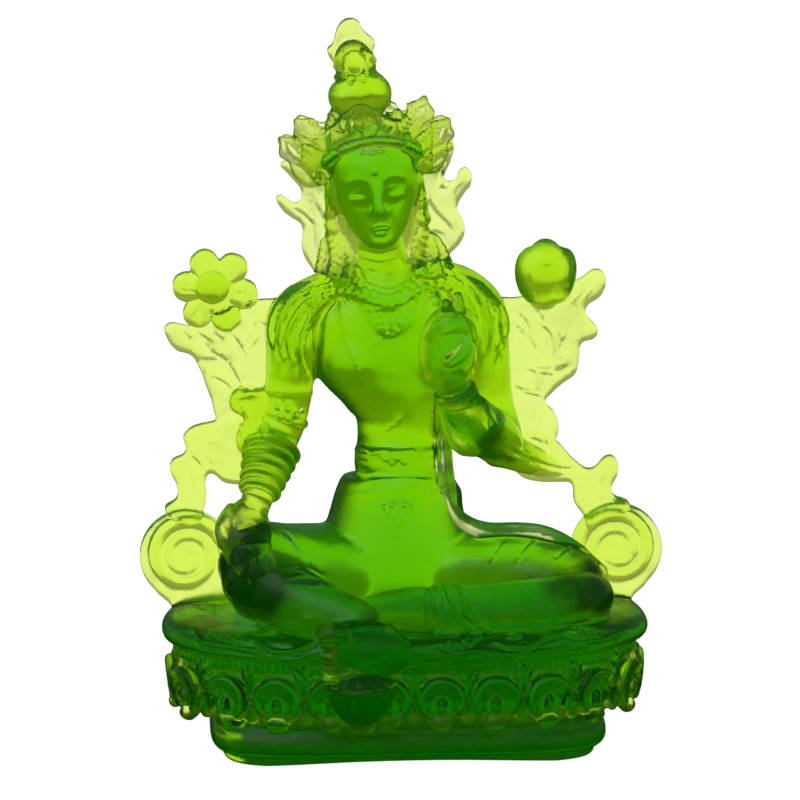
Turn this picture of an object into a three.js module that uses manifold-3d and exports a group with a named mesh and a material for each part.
// A seated Green Tara of cast glass, made in one piece with its lotus plinth. Millimetres, +Z up.
// The origin is the middle of the underside, +X is the viewer's right, and the face looks along -Y.
// She sits in royal ease: the left leg is folded on the seat, and the right foot is on a small lotus in front.
import * as THREE from "three";
import { mergeVertices } from "three/addons/utils/BufferGeometryUtils.js";
import Module from "manifold-3d";

const wasm = await Module();
wasm.setup();

// The low rounded foot of the plinth.
const FOOT_LENGTH = 103.6;
const FOOT_DEPTH = 64;
const FOOT_HEIGHT = 12.5;
const FOOT_BULGE = 3;
const FOOT_LIP = 1.9;
const FOOT_SQUARENESS = 5.6;

// The band of lotus petals, and the seat with its fat rolled rim.
const BAND_LENGTH = 126;
const BAND_DEPTH = 70;
const BAND_HEIGHT = 18;
const BAND_SQUARENESS = 2.4;
const RIM_OVERHANG = 4.8;
const RIM_HEIGHT = 6.5;
const SEAT_MARGIN = 6.5;
const PETAL_COUNT = 22;
const PETAL_BULGE = 4;
const BOSS_BULGE = 1.4;
// The petals hang this much lower at the two ends than at the front and back.
const PETAL_DROOP = 2.4;

// The figure above the seat, and how thick its flat castings are.
const FIGURE_HEIGHT = 163;
const LEAF_THICKNESS = 4.2;
const SCARF_THICKNESS = 5;
const FLAME_THICKNESS = 3.4;
const CROWN_THICKNESS = 3;
const SCROLL_RELIEF = 1.4;

// The small lotus that carries the right foot.
const STEP_RADIUS = 10.2;
const STEP_HEIGHT = 14;

const SEAT_Z = FOOT_HEIGHT + BAND_HEIGHT + RIM_HEIGHT;
// Places and sizes on the figure are drawn for this height above the seat, and follow FIGURE_HEIGHT.
const DRAWN_HEIGHT = 163;
const FIGURE_SCALE = FIGURE_HEIGHT / DRAWN_HEIGHT;
const FRONT = new THREE.Vector3(0, -1, 0);
const UP = new THREE.Vector3(0, 0, 1);
const SIDE = new THREE.Vector3(1, 0, 0);

// Moves every corner of a geometry by a function of its place.
function reshape(geometry, move) {
  const places = geometry.getAttribute("position");
  const corner = new THREE.Vector3();
  for (let i = 0; i < places.count; i += 1) {
    corner.fromBufferAttribute(places, i);
    const moved = move(corner);
    places.setXYZ(i, moved.x, moved.y, moved.z);
  }
  return geometry;
}

function solid(geometry) {
  const bare = new THREE.BufferGeometry();
  bare.setAttribute("position", geometry.getAttribute("position"));
  if (geometry.index) {
    bare.setIndex(geometry.index);
  }
  const merged = mergeVertices(bare, 1e-4);
  return new wasm.Manifold(
    new wasm.Mesh({
      numProp: 3,
      vertProperties: merged.getAttribute("position").array,
      triVerts: new Uint32Array(merged.index.array),
    }),
  );
}

function smoothLine(places) {
  return new THREE.CatmullRomCurve3(
    places.map((place) => new THREE.Vector3(...place)),
    false,
    "centripetal",
  );
}

// A round bar drawn through stations of [x, y, z, half width, half depth], with a ring at each station.
// Its depth points at toward and its width lies across. The ends are low cones, a share of the last width high.
function limb(stations, { sides = 8, between = 1, toward = FRONT, dome = 0.35 } = {}) {
  const line = smoothLine(stations.map(([x, y, z]) => [x, y, z]));
  const girth = smoothLine(stations.map(([, , , wide, deep = wide], i) => [wide, deep, i * 4]));
  const steps = (stations.length - 1) * between;
  return reshape(new THREE.CylinderGeometry(1, 1, 1, sides, steps), (corner) => {
    const along = Math.min(1, Math.max(0, corner.y + 0.5));
    const tangent = line.getTangent(along);
    const across = new THREE.Vector3().crossVectors(tangent, toward).normalize();
    const outward = new THREE.Vector3().crossVectors(across, tangent);
    const half = girth.getPoint(along);
    const place = line.getPoint(along);
    if (Math.hypot(corner.x, corner.z) < 0.5) {
      return place.addScaledVector(tangent, Math.sign(corner.y) * dome * Math.min(half.x, half.y));
    }
    return place.addScaledVector(across, corner.x * half.x).addScaledVector(outward, corner.z * half.y);
  });
}

// An egg with its own half sizes, turned by angles in degrees about x, y and z.
function egg([x, y, z], [wide, deep, high], { sides = 8, rings = 5, turn = [0, 0, 0] } = {}) {
  return new THREE.SphereGeometry(1, sides, rings)
    .rotateX(Math.PI / 2)
    .scale(wide, deep, high)
    .applyMatrix4(turnedBy(...turn))
    .translate(x, y, z);
}

function turnedBy(aboutX, aboutY, aboutZ) {
  const angles = [aboutX, aboutY, aboutZ].map((degrees) => THREE.MathUtils.degToRad(degrees));
  return new THREE.Matrix4().makeRotationFromEuler(new THREE.Euler(...angles, "XYZ"));
}

// A flat casting that stands upright with its middle in the plane y, from a closed outline of [x, z].
function plate(outline, y, thickness) {
  const shape = new THREE.Shape(outline.map(([x, z]) => new THREE.Vector2(x, z)));
  return new THREE.ExtrudeGeometry(shape, { depth: thickness, bevelEnabled: false })
    .rotateX(Math.PI / 2)
    .translate(0, y + thickness / 2, 0);
}

// The plan of the plinth is a rounded rectangle, read by share of the way round.
function planOf(length, depth, squareness) {
  const samples = 176;
  const bend = 2 / squareness;
  const places = Array.from({ length: samples }, (_, i) => {
    const angle = (2 * Math.PI * i) / samples;
    const x = (length / 2) * Math.sign(Math.cos(angle)) * Math.abs(Math.cos(angle)) ** bend;
    const y = (depth / 2) * Math.sign(Math.sin(angle)) * Math.abs(Math.sin(angle)) ** bend;
    return new THREE.Vector3(x, y, 0);
  });
  const loop = new THREE.CatmullRomCurve3(places, true);
  loop.arcLengthDivisions = 4 * samples;
  return loop;
}

// A tier of the plinth. Each row of its profile gives, for a share of the way round, how far it stands out
// from the plan and how high it lies.
function tier(plan, columns, rows) {
  return reshape(new THREE.CylinderGeometry(1, 1, 1, columns, rows.length - 1), (corner) => {
    const row = Math.round((corner.y + 0.5) * (rows.length - 1));
    const angle = Math.atan2(corner.x, corner.z);
    const column = Math.round(((angle / (2 * Math.PI)) * columns + columns) % columns) % columns;
    const share = column / columns;
    const [out, z] = rows[row](share);
    if (Math.hypot(corner.x, corner.z) < 0.5) {
      return new THREE.Vector3(0, 0, z);
    }
    const tangent = plan.getTangentAt(share);
    const place = plan.getPointAt(share);
    return new THREE.Vector3(place.x + tangent.y * out, place.y - tangent.x * out, z);
  });
}

function even(profile) {
  return profile.map((point) => () => point);
}

function plinth() {
  const bulgeTop = FOOT_HEIGHT - 1.4;
  const foot = even([
    [-0.8, 0],
    [-0.4, FOOT_LIP],
    [FOOT_BULGE * 0.85, FOOT_LIP + 1],
    [FOOT_BULGE, (FOOT_LIP + bulgeTop) / 2],
    [FOOT_BULGE * 0.3, bulgeTop - 0.6],
    [-3, FOOT_HEIGHT],
  ]);
  const bandTop = FOOT_HEIGHT + BAND_HEIGHT;
  const rim = even([
    [0.2, bandTop - 0.8],
    [RIM_OVERHANG - 0.6, bandTop + 0.4],
    [RIM_OVERHANG, bandTop + RIM_HEIGHT * 0.36],
    [RIM_OVERHANG - 2, bandTop + RIM_HEIGHT * 0.8],
    [-SEAT_MARGIN * 0.5, SEAT_Z - 0.4],
    [-SEAT_MARGIN, SEAT_Z],
  ]);
  const footPlan = planOf(FOOT_LENGTH, FOOT_DEPTH, FOOT_SQUARENESS);
  const bandPlan = planOf(BAND_LENGTH, BAND_DEPTH, BAND_SQUARENESS);
  return [tier(footPlan, 28, foot), tier(bandPlan, PETAL_COUNT * 4, petalRows()), tier(bandPlan, 32, rim)];
}

// Down-turned petals side by side, curling out at the foot, each with a round boss on it. For each share of the
// band's height, the rows give how far the gap between two petals stands out, and the petals' middle beyond it.
function petalRows() {
  const rows = [
    [0, -8, 0, 0],
    [0.12, -2.2, 1.45, 0.5],
    [0.36, -0.4, 1.2, 1],
    [0.58, 0, 0.9, 0.7],
    [0.8, 0.4, 0.1, 0],
    [1, -0.6, 0, 0],
  ];
  return rows.map(([level, gap, bulge, boss]) => (share) => {
    const place = share * PETAL_COUNT;
    const across = Math.abs(2 * (place - Math.floor(place)) - 1);
    const body = Math.sqrt(Math.max(0, 1 - across ** 2)) * bulge * PETAL_BULGE;
    const round = across < 0.25 ? boss * BOSS_BULGE : 0;
    const end = Math.cos(2 * Math.PI * share) ** 2;
    const drop = PETAL_DROOP * end * (1 - level);
    return [gap + body + round, FOOT_HEIGHT - 0.5 + level * BAND_HEIGHT - drop];
  });
}

// The lotus bowl in front of the plinth, under the right foot, standing on a round bud.
const STEP_AT = [-14.7, -42.5, -10.6];

function stepLotus() {
  const outline = [
    [0, -STEP_HEIGHT],
    [STEP_RADIUS * 0.36, -STEP_HEIGHT + 0.3],
    [STEP_RADIUS * 0.5, -STEP_HEIGHT * 0.82],
    [STEP_RADIUS * 0.78, -STEP_HEIGHT * 0.5],
    [STEP_RADIUS * 0.92, -STEP_HEIGHT * 0.2],
    [STEP_RADIUS, -0.8],
    [STEP_RADIUS * 0.94, 0],
    [0, 0],
  ];
  return new THREE.LatheGeometry(
    outline.map(([r, z]) => new THREE.Vector2(r, z)),
    12,
  )
    .rotateX(Math.PI / 2)
    .translate(...STEP_AT);
}

// The right leg (viewer's left) bends out at the knee, and its foot is turned out on the small lotus.
function rightLeg() {
  const thigh = limb(
    [
      [-8, 5, 11, 14, 12],
      [-20, 0, 12.5, 13.5, 11.6],
      [-32, -7, 14.2, 12, 10.8],
      [-41, -13, 16, 10.5, 11],
      [-48, -16, 15, 6.5, 6.5],
    ],
    { sides: 8, toward: UP },
  );
  const shin = limb(
    [
      [-47, -13, 12.5, 6.5, 7],
      [-41.5, -17, 11.5, 10, 10.5],
      [-31, -25, 8, 9, 9],
      [-21, -32, 5, 7.6, 8],
      [-14, -37.5, 3, 6.4, 6.8],
    ],
    { sides: 8, toward: UP },
  );
  const foot = limb(
    [
      [-2.8, -38, -1, 3, 3.6],
      [-5.4, -39, -0.8, 4.8, 6.8],
      [-12, -41.5, -0.2, 5.6, 8.6],
      [-19, -43.6, -0.2, 4.6, 8],
      [-22, -44.6, -0.4, 3.4, 7],
    ],
    { sides: 8, toward: UP },
  );
  const toes = [6, 2.6, -0.6, -3.8, -6.8].map((z, i) => {
    const size = i === 0 ? 2.4 : 1.9;
    return egg([-22.6, -45.6, z], [size * 1.2, size * 1.2, size], { sides: 5, rings: 3 });
  });
  return [thigh, shin, foot, ...toes];
}

// The left leg (viewer's right) is folded: the calf lies along the front of the seat.
function leftLeg() {
  const thigh = limb(
    [
      [4, 5, 10, 14, 12],
      [17, 3, 12.4, 13, 11.4],
      [31, -2, 12.2, 11.5, 11.2],
      [43, -7, 10, 10, 9.6],
      [50, -10, 8, 6.4, 7],
    ],
    { sides: 8, toward: UP },
  );
  const calf = limb(
    [
      [53, -11, 5, 5, 6.6],
      [47, -16, 4, 7.6, 8.4],
      [36, -21.5, 3.8, 8.4, 8.6],
      [22, -25, 3.8, 8, 8.2],
      [12, -26, 4, 7.2, 7.6],
      [11, -26, 4.2, 8.2, 8.6],
      [5.4, -26.4, 4.4, 8, 8.4],
      [4.6, -26.4, 4.6, 6, 6.4],
    ],
    { sides: 8, toward: UP },
  );
  const foot = limb(
    [
      [6, -26, 5.4, 5.8, 5.8],
      [0, -27.2, 6.2, 5.6, 6],
      [-7, -29, 6.4, 4.6, 4.8],
      [-13, -31, 6.2, 4.2, 4],
      [-18, -32, 6, 2.6, 2.6],
    ],
    { sides: 8, toward: UP },
  );
  return [thigh, calf, foot];
}

// Hips with the skirt's band and belt, a narrow waist, chest, shoulders and neck.
function torso() {
  const trunk = limb(
    [
      [-2, 5, -2, 20, 15.5],
      [-2, 5, 17, 21, 16],
      [-1.8, 5, 25, 19.6, 14.4],
      [-1, 5, 30.5, 17.9, 13.4],
      [-0.6, 5, 34.8, 16.8, 12.6],
      [-0.4, 5, 37.6, 13, 11.4],
      [-0.7, 5, 39.6, 12.8, 11.4],
      [-0.5, 5, 44.6, 13.2, 11.2],
      [-0.4, 5, 45.6, 12.2, 10],
      [0.4, 5, 52, 13.6, 10.2],
      [0.2, 4.6, 58, 16, 11],
      [-0.7, 4.2, 64.5, 19.4, 12],
      [-3.2, 3.6, 73, 23.5, 12.6],
      [-4, 3.2, 82, 24.5, 11.6],
      [-4.6, 3, 88.6, 20.5, 10],
      [-5.6, 2.6, 93, 12, 8.6],
      [-6.4, 1.6, 98, 7.2, 7],
      [-7.2, 0.4, 105, 6.6, 6.8],
    ],
    { sides: 10 },
  );
  const bust = [-12.6, 6.6].map((x) => egg([x, -4.4, 70.5], [8.4, 6, 7.4], { sides: 8, rings: 5 }));
  return [trunk, ...bust];
}

// A bar whose girth swells and shrinks once for each ring worn on it, between two shares of its length.
function ringed(stations, count, rise) {
  const line = smoothLine(stations.map(([x, y, z]) => [x, y, z]));
  const [first, last] = [stations[0], stations.at(-1)];
  return Array.from({ length: 2 * count + 1 }, (_, i) => {
    const share = i / (2 * count);
    const place = line.getPoint(share);
    const proud = i % 2 === 1 ? rise : 0;
    const wide = THREE.MathUtils.lerp(first[3], last[3], share) + proud;
    const deep = THREE.MathUtils.lerp(first[4], last[4], share) + proud;
    return [place.x, place.y, place.z, wide, deep];
  });
}

// The right arm (viewer's left) hangs down in rings, and its open hand lies palm out on the knee.
function rightArm() {
  const bracelets = ringed(
    [
      [-37.4, -4, 45.6, 6.6, 7],
      [-38.8, -7.4, 40.6, 6.8, 6.4],
      [-40.4, -10.6, 36.4, 6.2, 5.6],
    ],
    3,
    0.9,
  );
  const arm = limb(
    [
      [-13, 3.6, 92, 5, 6.4],
      [-23, 4, 87.8, 6, 8],
      [-30.2, 4, 81.4, 7.4, 9],
      [-31, 4, 72, 6.8, 9],
      [-32, 3.8, 61, 6.6, 7.6],
      [-32.6, 3.8, 60, 7.2, 8.2],
      [-34, 3, 52.4, 7.1, 7.8],
      [-34.3, 2.8, 51.4, 6.5, 7],
      ...bracelets,
      [-42, -14, 32.4, 4.4, 4.2],
      [-42.8, -16.4, 30, 4.2, 3.8],
    ],
    { sides: 8 },
  );
  const palm = limb(
    [
      [-42.6, -14, 33, 3.6, 3.4],
      [-44.2, -18, 29, 6.6, 4.2],
      [-44.8, -21.6, 24.4, 7, 4],
      [-44, -24, 20, 6, 3.2],
    ],
    { sides: 8 },
  );
  const fingers = [0, 1, 2, 3].map((i) => {
    const x = -48 + i * 2.7;
    const tip = 13.6 + Math.abs(i - 1.6) * 1.3;
    return limb(
      [
        [x, -23, 24, 1.9],
        [x + 1.2, -25.8, 18.6, 1.8],
        [x + 2.2, -26.8, tip, 1.1],
      ],
      { sides: 5 },
    );
  });
  const thumb = limb(
    [
      [-47.6, -17, 32, 2.6],
      [-50.2, -20, 27.8, 3],
      [-50.4, -22.6, 23, 2],
    ],
    { sides: 5 },
  );
  return [arm, palm, ...fingers, thumb];
}

// The left arm (viewer's right) is raised, and the hand is before the breast with thumb and finger joined.
function leftArm() {
  const upper = limb(
    [
      [4, 3.6, 92.6, 5, 6.4],
      [14, 4, 89.6, 6.4, 8],
      [21, 4, 83, 7.2, 9],
      [22.4, 4, 73, 6.8, 9],
      [24.2, 3, 58, 6, 7.4],
      [26, 0, 49, 6.4, 7],
      [27, -3, 43, 5.4, 6],
    ],
    { sides: 8 },
  );
  const fore = limb(
    [
      [28.6, -1, 43.6, 5, 5],
      [24.4, -6, 48.6, 7, 6.4],
      [18.4, -12.6, 55, 7, 6.2],
      [13.8, -18.4, 61.6, 5.4, 5],
      [13.2, -19, 62.6, 6.2, 5.8],
      [12, -20.6, 65, 6, 5.6],
      [11.6, -21, 66, 4.6, 4.4],
      [10.4, -22.4, 69, 4.8, 4.2],
    ],
    { sides: 8 },
  );
  const palm = limb(
    [
      [10.6, -22, 66.6, 4.4, 3.8],
      [9.6, -24.6, 71, 7.2, 4.6],
      [9.4, -25.6, 77.4, 8, 4.8],
      [9.8, -25.4, 83, 6.6, 4.2],
      [10.6, -25, 86.4, 4.4, 3],
    ],
    { sides: 8 },
  );
  const curled = [0, 1, 2].map((i) =>
    limb(
      [
        [13.4 - i * 3.5, -27.4, 84.6 - i * 1.2, 2],
        [12.8 - i * 3.2, -30.4, 80.6 - i, 2],
        [11.6 - i * 2.4, -29.6, 76, 1.5],
      ],
      { sides: 5, toward: SIDE },
    ),
  );
  const raised = [
    [13.8, 91.8, 1.8],
    [9.6, 90, 1.7],
  ].map(([x, tip, wide]) =>
    limb(
      [
        [x - 0.6, -26, 83, wide + 0.3],
        [x, -27, 88, wide],
        [x - 0.4, -27.6, tip, wide - 0.5],
      ],
      { sides: 5 },
    ),
  );
  return [upper, fore, palm, ...curled, ...raised];
}

// Face, hair, crown and topknot are drawn upright round the middle of the head, then tilted together.
const HEAD_AT = [-8.6, -3, 118.5];
const HEAD_TILT = [6, -6, 0];

function head() {
  const skull = limb(
    [
      [0, -6, -15.4, 3.4, 3.6],
      [0, -4.4, -12.6, 7.4, 8],
      [0, -1.8, -7, 10.6, 11.2],
      [0, 0.6, 0, 12, 13.6],
      [0, 1.8, 7, 12.4, 14.2],
      [0, 2, 13, 10.6, 12.6],
      [0, 2, 17, 6, 7],
    ],
    { sides: 12 },
  );
  const nose = limb(
    [
      [0, -11.6, 3.4, 0.9, 1.6],
      [0, -13.6, -1.5, 1.2, 1.8],
      [0, -14.4, -5, 1.9, 2],
    ],
    { sides: 4 },
  );
  const eyes = [-4.8, 4.8].map((x) => egg([x, -11.4, 0], [2.9, 1.8, 1.4], { sides: 6, rings: 3, turn: [0, 0, x] }));
  const lips = egg([0, -12, -8.6], [2.8, 1.7, 1.2], { sides: 6, rings: 3 });
  const ears = [-1, 1].map((side) => egg([side * 12, 1, -2.4], [1.8, 2.6, 5], { sides: 5, rings: 4 }));
  const earrings = [-1, 1].map((side) => egg([side * 12.4, 0, -10], [3, 2.2, 3.6], { sides: 6, rings: 4 }));
  return [skull, nose, ...eyes, lips, ...ears, ...earrings];
}

// Hair falls behind the ears to the shoulders and down the back.
function hair() {
  const back = limb(
    [
      [0, 6, 0, 11, 7],
      [0.8, 8.4, -9, 12.8, 6.6],
      [1.6, 9.6, -20, 12.5, 5.4],
      [2.6, 11.4, -32, 11, 4.4],
      [3.2, 12.6, -43, 7, 3],
    ],
    { sides: 10 },
  );
  const locks = [-1, 1].map((side) =>
    limb(
      [
        [side * 11.6, 2, -6, 2.4, 3],
        [side * 13, 1, -15, 3.5, 3.4],
        [side * 14.4, 0.4, -22, 3.8, 3],
        [side * 15.6, 1, -26, 2.6, 2.4],
      ],
      { sides: 6 },
    ),
  );
  return [back, ...locks];
}

// A beaded band arches over the brow and carries a row of leaf points, round a tapering cap of hair.
function crown() {
  const band = limb(
    [
      [-14.4, 2, 1.4, 1.9, 2],
      [-13.4, -5, 8.6, 2, 2.2],
      [-8, -10.6, 12.8, 2.2, 2.4],
      [0, -12.6, 14.2, 2.4, 2.6],
      [8, -10.6, 12.8, 2.2, 2.4],
      [13.4, -5, 8.6, 2, 2.2],
      [14.4, 2, 1.4, 1.9, 2],
    ],
    { sides: 5, toward: UP },
  );
  const points = [
    { root: [-0.6, 12], tip: [-0.8, 26], half: 6, y: -9.6 },
    { root: [-5.4, 11], tip: [-10.2, 23.6], half: 4.4, y: -8 },
    { root: [-9.6, 9], tip: [-19.6, 22], half: 5.4, y: -5.5 },
    { root: [-13.6, 5], tip: [-24.4, 17], half: 4.4, y: -1 },
    { root: [5, 11], tip: [8.8, 22.4], half: 4.4, y: -8 },
    { root: [9.4, 9], tip: [15.8, 24.4], half: 5.4, y: -5.5 },
    { root: [12.6, 5], tip: [21.8, 17.2], half: 4.8, y: -1 },
  ];
  const cap = limb(
    [
      [0, 2, 8, 11.5, 12.5],
      [0, 2.4, 15, 10, 10.8],
      [-0.6, 2.6, 20, 7.6, 8.4],
      [-1.4, 3, 25, 7, 7],
    ],
    { sides: 10 },
  );
  return [band, cap, ...points.map(crownLeaf)];
}

// One leaf point of the crown, with a small barb on each side.
function crownLeaf({ root, tip, half, y }) {
  const [dx, dz] = [tip[0] - root[0], tip[1] - root[1]];
  const right = [
    [0, 1],
    [0.4, 1.15],
    [0.62, 0.7],
    [0.78, 0.9],
  ];
  const left = right.map(([far, wide]) => [far, -wide]).reverse();
  const length = Math.hypot(dx, dz);
  const outline = [...right, [1, 0], ...left].map(([far, wide]) => [
    root[0] + far * dx + (wide * half * dz) / length,
    root[1] + far * dz - (wide * half * dx) / length,
  ]);
  return plate(outline, y, CROWN_THICKNESS);
}

// Hair is bound up in two buns with a small oval shrine on the upper one, and a flame stands behind it.
function topknot() {
  const buns = limb(
    [
      [-1.2, 3, 17, 8.6, 8],
      [-1.2, 3, 23, 8.8, 8],
      [-1.1, 3, 26.8, 8.4, 7.2],
      [-1.5, 3, 30.4, 5.2, 4.6],
      [-1.8, 3, 32.4, 6.2, 5],
      [-2, 3, 36, 5.6, 4.6],
      [-2, 3.2, 39, 3.6, 3],
    ],
    { sides: 8 },
  );
  const shrine = egg([-2, -1.4, 34], [2.6, 2, 3.2], { sides: 8, rings: 5 });
  const flame = plate(
    [
      [-6.6, 31],
      [-8.4, 35.6],
      [-7.2, 40.4],
      [-4.6, 44],
      [-2.2, 46.4],
      [0.8, 44.4],
      [2.4, 41.2],
      [4.6, 38.4],
      [3.8, 31],
    ],
    4.4,
    FLAME_THICKNESS,
  );
  return [buns, shrine, flame];
}

// The crown's ribbons stream out behind the head like flames, as one flat casting.
function ribbons() {
  const leftOfViewer = [
    [-22.5, 92],
    [-26, 95.4],
    [-27.9, 100],
    [-28, 106.4],
    [-30.6, 108.4],
    [-33.2, 110.8],
    [-34, 114.4],
    [-29.2, 112.6],
    [-27.8, 114.6],
    [-31.6, 120.6],
    [-33, 123],
    [-29.8, 124.6],
    [-25, 126],
  ];
  const rightOfViewer = [
    [9, 132],
    [13.7, 129],
    [13.2, 123.6],
    [11.6, 118.8],
    [14.4, 118.6],
    [16.4, 121.8],
    [17.8, 121.2],
    [18.8, 117.2],
    [17.2, 115],
    [15.2, 110.6],
    [16.8, 107.2],
    [17.3, 104.4],
    [16.2, 101.2],
    [12.6, 97.4],
    [8, 92],
  ];
  return plate([...leftOfViewer, ...rightOfViewer], 10, FLAME_THICKNESS);
}

// An open flower of six petals on a broad leaf stands by the right shoulder (viewer's left).
function leafAndFlower() {
  const leaf = plate(
    [
      [-30, 86],
      [-41, 86],
      [-52, 82],
      [-65.6, 79],
      [-65.4, 75.6],
      [-62.6, 72],
      [-59, 70.8],
      [-56.8, 67.6],
      [-53.6, 58],
      [-52, 57],
      [-52.6, 55.6],
      [-50.4, 50],
      [-40, 48],
      [-33, 56],
      [-32, 74],
    ],
    8,
    LEAF_THICKNESS,
  );
  // The petals are one scalloped dish: round at the tips and drawn in between.
  const petals = reshape(new THREE.CylinderGeometry(11.8, 10, 5, 24, 1), (corner) => {
    const reach = 0.84 + 0.16 * Math.abs(Math.cos(3 * Math.atan2(corner.x, corner.z)));
    return new THREE.Vector3(corner.x * reach, corner.y, corner.z * reach);
  });
  petals.rotateY(THREE.MathUtils.degToRad(22)).rotateX(Math.PI).translate(-51.8, 4.6, 89.2);
  const heart = egg([-52.6, 2.2, 91.2], [4.4, 3.4, 4.4], { sides: 8, rings: 5 });
  return [leaf, petals, heart];
}

// A closed bud on a toothed leaf stands by the left shoulder (viewer's right).
function leafAndBud() {
  const leaf = plate(
    [
      [22, 84],
      [33, 86],
      [49.3, 91],
      [54, 93.4],
      [55.8, 91.6],
      [55.2, 86.6],
      [50.6, 82.2],
      [54, 76.4],
      [53.2, 74.4],
      [49.6, 72.8],
      [49, 69],
      [48, 64.4],
      [44.2, 61.4],
      [41.6, 58.8],
      [39.6, 56.4],
      [42.2, 53.4],
      [42.8, 46.4],
      [36, 42],
      [26, 46],
      [24, 70],
    ],
    8,
    LEAF_THICKNESS,
  );
  const bud = limb(
    [
      [38.8, 4.8, 84, 3.4, 2.6],
      [38.9, 4, 88.6, 7.4, 5.4],
      [39.1, 3.6, 94.6, 9.1, 6.6],
      [39.2, 3.6, 99, 8.2, 6],
      [39.2, 3.6, 101, 5, 4],
    ],
    { sides: 10 },
  );
  return [leaf, bud];
}

// Beyond each elbow the scarf drops in a crooked ribbon to a flat scroll that stands on the seat.
function scarfLeftOfViewer() {
  const fall = plate(
    [
      [-38, 52],
      [-47, 52.4],
      [-52, 52],
      [-60.6, 48.2],
      [-60.4, 43.4],
      [-64.2, 41],
      [-64.8, 39.2],
      [-62.8, 33.6],
      [-63, 30.6],
      [-66.4, 27.6],
      [-60, 18],
      [-52, 18],
      [-56.2, 25],
      [-55, 31],
      [-55, 36],
      [-54, 37.4],
      [-49.4, 34.6],
      [-41, 36],
    ],
    7.4,
    SCARF_THICKNESS,
  );
  const overArm = limb(
    [
      [-43, 4, 60, 3.4, 4.4],
      [-44, 3, 52, 4.6, 5.4],
      [-43, 0, 43, 5, 5.6],
      [-42.4, -4, 37, 3.6, 4.4],
    ],
    { sides: 6 },
  );
  return [fall, overArm, ...scroll(-60.9, 13.6, 13.3)];
}

function scarfRightOfViewer() {
  const fall = plate(
    [
      [28, 44],
      [36, 49],
      [42.8, 45.4],
      [48.3, 39.6],
      [52.6, 37.2],
      [57.6, 40.6],
      [59.3, 40],
      [60.2, 36.8],
      [58.6, 30.4],
      [63.6, 26.8],
      [62, 16],
      [50, 17],
      [49.4, 19.4],
      [51.2, 23],
      [48.2, 27.6],
      [47, 33.2],
      [44, 33.6],
      [38.2, 33.8],
      [32.8, 35.6],
    ],
    7.4,
    SCARF_THICKNESS,
  );
  // The scarf lies over the elbow and hangs in a deep loop below the forearm.
  const overElbow = limb(
    [
      [10, -14, 62, 2.4, 3.2],
      [14.4, -11, 49.6, 3.8, 4.8],
      [21, -8, 47.8, 4, 4.7],
      [29.6, -2, 43.8, 4.8, 5.8],
      [37, 5, 39.4, 4.6, 4.4],
    ],
    { sides: 6 },
  );
  return [fall, overElbow, ...scroll(60.6, 13.8, 13.2)];
}

// A flat spiral: a round disc with a raised band and a raised middle, running down into the seat.
function scroll(x, z, radius) {
  const y = 9;
  const half = SCARF_THICKNESS / 2;
  const profile = [
    [0, -half],
    [radius, -half],
    [radius, half],
    [radius * 0.76, half + SCROLL_RELIEF],
    [radius * 0.5, half],
    [radius * 0.2, half + SCROLL_RELIEF],
    [0, half + SCROLL_RELIEF],
  ];
  const disc = new THREE.LatheGeometry(
    profile.map(([r, out]) => new THREE.Vector2(r, out)),
    18,
  )
    .rotateX(Math.PI)
    .translate(x, y, z);
  const inward = -Math.sign(x);
  const stem = plate(
    [
      [x - inward * radius * 0.6, z - radius * 0.8],
      [x - inward * 3, -4],
      [x + inward * 12, -4],
      [x + inward * radius * 0.9, z - 7],
    ],
    y,
    SCARF_THICKNESS * 0.9,
  );
  return [disc, stem];
}

// A long sash falls from the raised wrist to the lap and along the folded thigh.
function sash() {
  return limb(
    [
      [8.6, -7.6, 62, 1.8, 1.6],
      [8.6, -6.6, 52, 1.8, 1.8],
      [9, -6.4, 42, 1.8, 1.8],
      [10.6, -8.6, 32, 1.8, 1.8],
      [14.6, -9.6, 26.2, 2, 2],
      [24, -7.6, 23.6, 2, 2.2],
      [36, -8, 22.6, 2.1, 2.4],
      [44, -8, 20.4, 2.2, 2.4],
      [49, -6, 15.6, 2.2, 2.4],
      [55, -2, 8, 2, 2],
    ],
    { sides: 5, toward: new THREE.Vector3(1, 0, 1).normalize() },
  );
}

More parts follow.
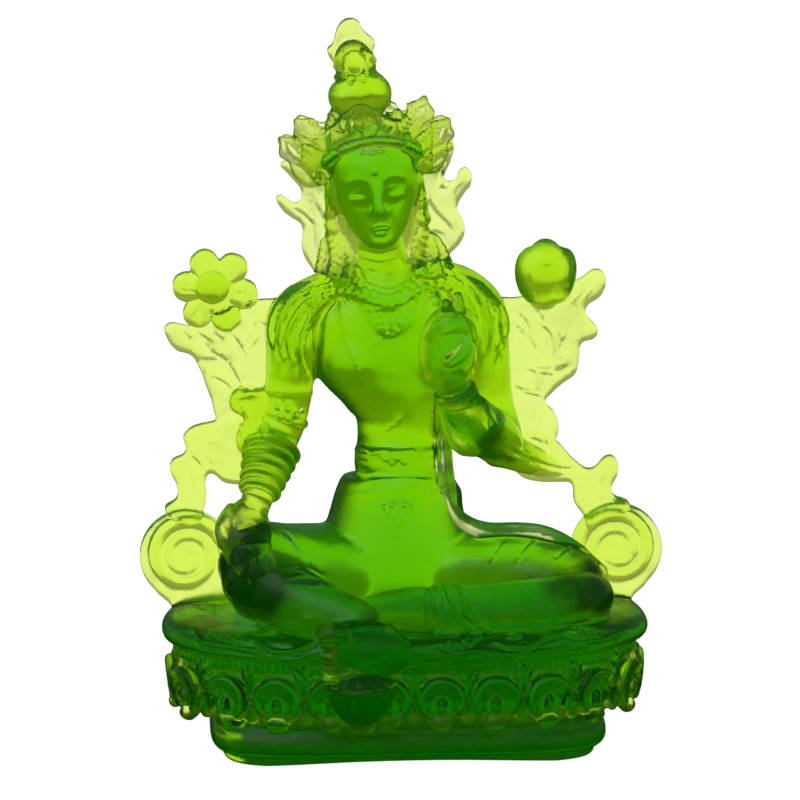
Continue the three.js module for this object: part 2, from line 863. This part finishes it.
// The collar of beads lies round the neck, with a pendant on the breast.
function necklace() {
  const collar = limb(
    [
      [-19, -1.4, 94, 2, 2.2],
      [-14, -6.4, 90.4, 2, 2.2],
      [-6, -8.6, 87.4, 2.2, 2.4],
      [3, -6.4, 90.6, 2, 2.2],
      [8, -1.4, 94.6, 2, 2.2],
    ],
    { sides: 5 },
  );
  const pendant = egg([-6.4, -9, 80.5], [4.4, 2, 5.6], { sides: 8, rings: 5 });
  return [collar, pendant];
}

// Puts a part of the head in its place: tilted to the viewer's left and a little forward.
function onHead(geometry) {
  return geometry.applyMatrix4(turnedBy(...HEAD_TILT)).translate(...HEAD_AT);
}

function figure() {
  const headParts = [...head(), ...hair(), ...crown(), ...topknot()].map(onHead);
  const bodyParts = [
    ribbons(),
    ...torso(),
    ...rightLeg(),
    ...leftLeg(),
    ...rightArm(),
    ...leftArm(),
    ...leafAndFlower(),
    ...leafAndBud(),
    ...scarfLeftOfViewer(),
    ...scarfRightOfViewer(),
    sash(),
    ...necklace(),
    stepLotus(),
  ];
  return [...headParts, ...bodyParts];
}

const seated = figure().map((geometry) =>
  geometry.scale(FIGURE_SCALE, FIGURE_SCALE, FIGURE_SCALE).translate(0, 0, SEAT_Z),
);
const joined = wasm.Manifold.union([...plinth(), ...seated].map(solid));
// The casting is solid glass, so hollows closed in between its forms are filled: their shells count inside out.
const whole = wasm.Manifold.compose(joined.decompose().filter((shell) => shell.volume() > 0));

function geometryOf(made) {
  const { numProp, vertProperties, triVerts } = made.getMesh();
  const places = new Float32Array((vertProperties.length / numProp) * 3);
  for (let i = 0; i < places.length / 3; i += 1) {
    places.set(vertProperties.subarray(i * numProp, i * numProp + 3), i * 3);
  }
  const geometry = new THREE.BufferGeometry();
  geometry.setAttribute("position", new THREE.BufferAttribute(places, 3));
  geometry.setIndex(new THREE.BufferAttribute(triVerts, 1));
  return geometry.toNonIndexed();
}

const castGlass = new THREE.MeshStandardMaterial({ color: 0x5fae12, roughness: 0.35, metalness: 0 });
const statue = new THREE.Mesh(geometryOf(whole), castGlass);
statue.geometry.computeVertexNormals();
statue.name = "tara_figure";

const root = new THREE.Group();
root.add(statue);

export default root;
